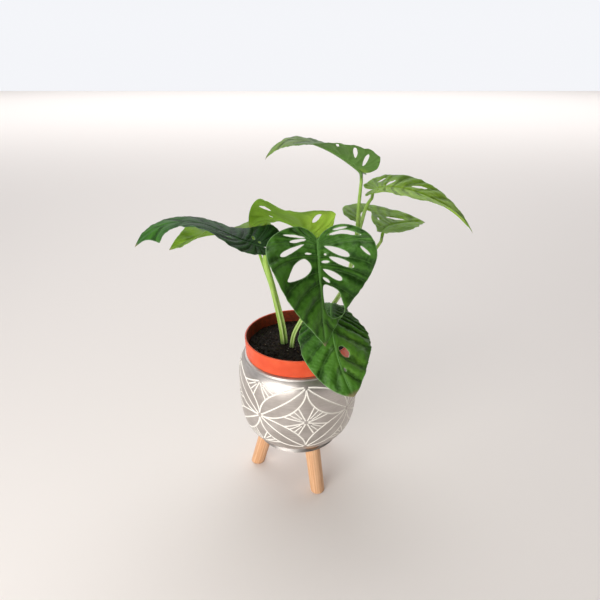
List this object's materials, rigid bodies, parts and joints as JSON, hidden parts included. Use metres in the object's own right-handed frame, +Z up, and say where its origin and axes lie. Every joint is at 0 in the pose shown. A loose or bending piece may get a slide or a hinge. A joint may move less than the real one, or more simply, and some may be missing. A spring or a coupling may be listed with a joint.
{
  "type": "potted monstera adansonii house plant",
  "caption": "Small potted house plant with perforated heart-shaped leaves on long petioles, in a plastic pot that sits in a round cover pot on splayed wooden legs.",
  "frame": {"origin": "centre of the bounding box in plan, at the level of the three soles", "axes": "+Z up, -Y towards the viewer of the picture, +X to that viewer's right"},
  "size_m": [0.3445, 0.2012, 0.4],
  "materials": {
    "silver_glaze": "satin silver with a pale engraved ornament",
    "light_wood": "sanded, clear oiled",
    "orange_plastic": "satin moulded plastic",
    "potting_soil": "loose dark crumbs",
    "pale_green_stem": "smooth living stem",
    "deep_green_leaf": "satin leaf",
    "dark_green_leaf": "glossy leaf",
    "fresh_green_leaf": "satin translucent leaf"
  },
  "bodies": {
    "root": {"cover_pot": "silver_glaze", "leg_front": "light_wood", "leg_back": "light_wood", "leg_left": "light_wood", "nursery_pot": "orange_plastic", "soil": "potting_soil", "stem_left": "pale_green_stem", "stem_middle": "pale_green_stem", "stem_right": "pale_green_stem", "leaf_front": "deep_green_leaf", "leaf_lower": "deep_green_leaf", "leaf_left": "dark_green_leaf", "leaf_far_left": "fresh_green_leaf", "leaf_back": "fresh_green_leaf", "leaf_top": "fresh_green_leaf", "leaf_right": "fresh_green_leaf", "leaf_mid_right": "fresh_green_leaf"}
  },
  "joints": []
}
